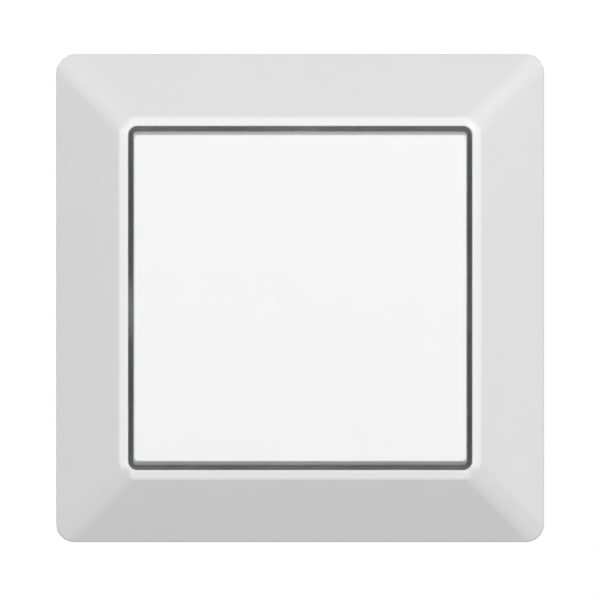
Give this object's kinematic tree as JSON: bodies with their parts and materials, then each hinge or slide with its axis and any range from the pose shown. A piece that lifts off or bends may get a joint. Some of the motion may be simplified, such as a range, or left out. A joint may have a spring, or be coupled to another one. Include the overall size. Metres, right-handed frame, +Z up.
{
  "type": "push button light switch",
  "caption": "Square flush push button light switch: sloped cover frame, hinged push key, steel support ring and a wall box insert with push-in wire entries and spreading claws.",
  "frame": {"origin": "middle of the switch on the wall's face, centre of the box screw holes on the ring's back", "axes": "+X right seen from the room, +Z up, +Y into the wall; the key faces -Y"},
  "size_m": [0.0806, 0.0335, 0.0806],
  "materials": {
    "face_plastic": "smooth moulded thermoplastic, silk gloss, pure white",
    "housing_plastic": "matt moulded thermoset, light grey",
    "cradle_plastic": "satin moulded acetal, off-white",
    "lever_plastic": "satin moulded plastic, orange",
    "zinc_plated_steel": "pressed sheet steel, bright zinc plate",
    "bright_steel": "drawn steel wire",
    "spring_steel": "stainless spring steel",
    "copper_alloy": "stamped copper alloy strip",
    "contact_silver": "fine silver contact face"
  },
  "bodies": {
    "insert": {"bearing_cover": "housing_plastic", "clamp_spring_1": "spring_steel", "clamp_spring_2": "spring_steel", "clamp_spring_3": "spring_steel", "clamp_spring_4": "spring_steel", "claw_pin_left": "bright_steel", "claw_pin_right": "bright_steel", "cover_frame": "face_plastic", "fixed_contact": "contact_silver", "hinge_axle": "bright_steel", "insert_base": "housing_plastic", "line_terminal_bar": "copper_alloy", "load_terminal_bar": "copper_alloy", "return_spring": "spring_steel", "rivet_1": "bright_steel", "rivet_2": "bright_steel", "rivet_3": "bright_steel", "rivet_4": "bright_steel", "support_ring": "zinc_plated_steel"},
    "key": {"push_key": "face_plastic", "key_cradle": "cradle_plastic"},
    "contact_arm": {"contact_leaf": "copper_alloy", "moving_contact": "contact_silver"},
    "lever_top": {"release_lever_top": "lever_plastic"},
    "lever_bottom": {"release_lever_bottom": "lever_plastic"},
    "spreader_left": {"claw_left": "zinc_plated_steel"},
    "spreader_right": {"claw_right": "zinc_plated_steel"},
    "screw_left": {"claw_screw_left": "zinc_plated_steel"},
    "screw_right": {"claw_screw_right": "zinc_plated_steel"}
  },
  "joints": [
    {"name": "key_hinge", "type": "hinge", "parent": "insert", "child": "key", "pos_m": [0, -0.005, 0.0155], "axis": [1, 0, 0], "range_deg": [0, 4], "stiffness_Nm_per_rad": 0.86, "springref_deg": -2.01, "deforming": ["return_spring"]},
    {"name": "contact_hinge", "type": "hinge", "parent": "insert", "child": "contact_arm", "pos_m": [0, 0.008, 0.012], "axis": [1, 0, 0], "range_deg": [0, 5.2]},
    {"name": "lever_top_slide", "type": "slide", "parent": "insert", "child": "lever_top", "axis": [0, -1, 0], "range_m": [0, 0.0015], "stiffness_N_per_m": 1000, "springref_m": -0.0005, "deforming": ["clamp_spring_2", "clamp_spring_4"]},
    {"name": "lever_bottom_slide", "type": "slide", "parent": "insert", "child": "lever_bottom", "axis": [0, -1, 0], "range_m": [0, 0.0015], "stiffness_N_per_m": 1000, "springref_m": -0.0005, "deforming": ["clamp_spring_1", "clamp_spring_3"]},
    {"name": "screw_left_turn", "type": "hinge", "parent": "insert", "child": "screw_left", "pos_m": [-0.0239, 0, 0], "axis": [0, 1, 0], "range_deg": [0, 1584]},
    {"name": "claw_left_swing", "type": "hinge", "parent": "insert", "child": "spreader_left", "pos_m": [-0.02, 0.005, 0], "axis": [0, 0, 1], "range_deg": [0, 32]},
    {"name": "screw_right_turn", "type": "hinge", "parent": "insert", "child": "screw_right", "pos_m": [0.0239, 0, 0], "axis": [0, 1, 0], "range_deg": [0, 1584]},
    {"name": "claw_right_swing", "type": "hinge", "parent": "insert", "child": "spreader_right", "pos_m": [0.02, 0.005, 0], "axis": [0, 0, -1], "range_deg": [0, 32]}
  ],
  "couplings": [
    {"joint": "contact_hinge", "follows": "key_hinge", "ratio": 1.3},
    {"joint": "claw_left_swing", "follows": "screw_left_turn", "ratio": 0.020202},
    {"joint": "claw_right_swing", "follows": "screw_right_turn", "ratio": 0.020202}
  ]
}
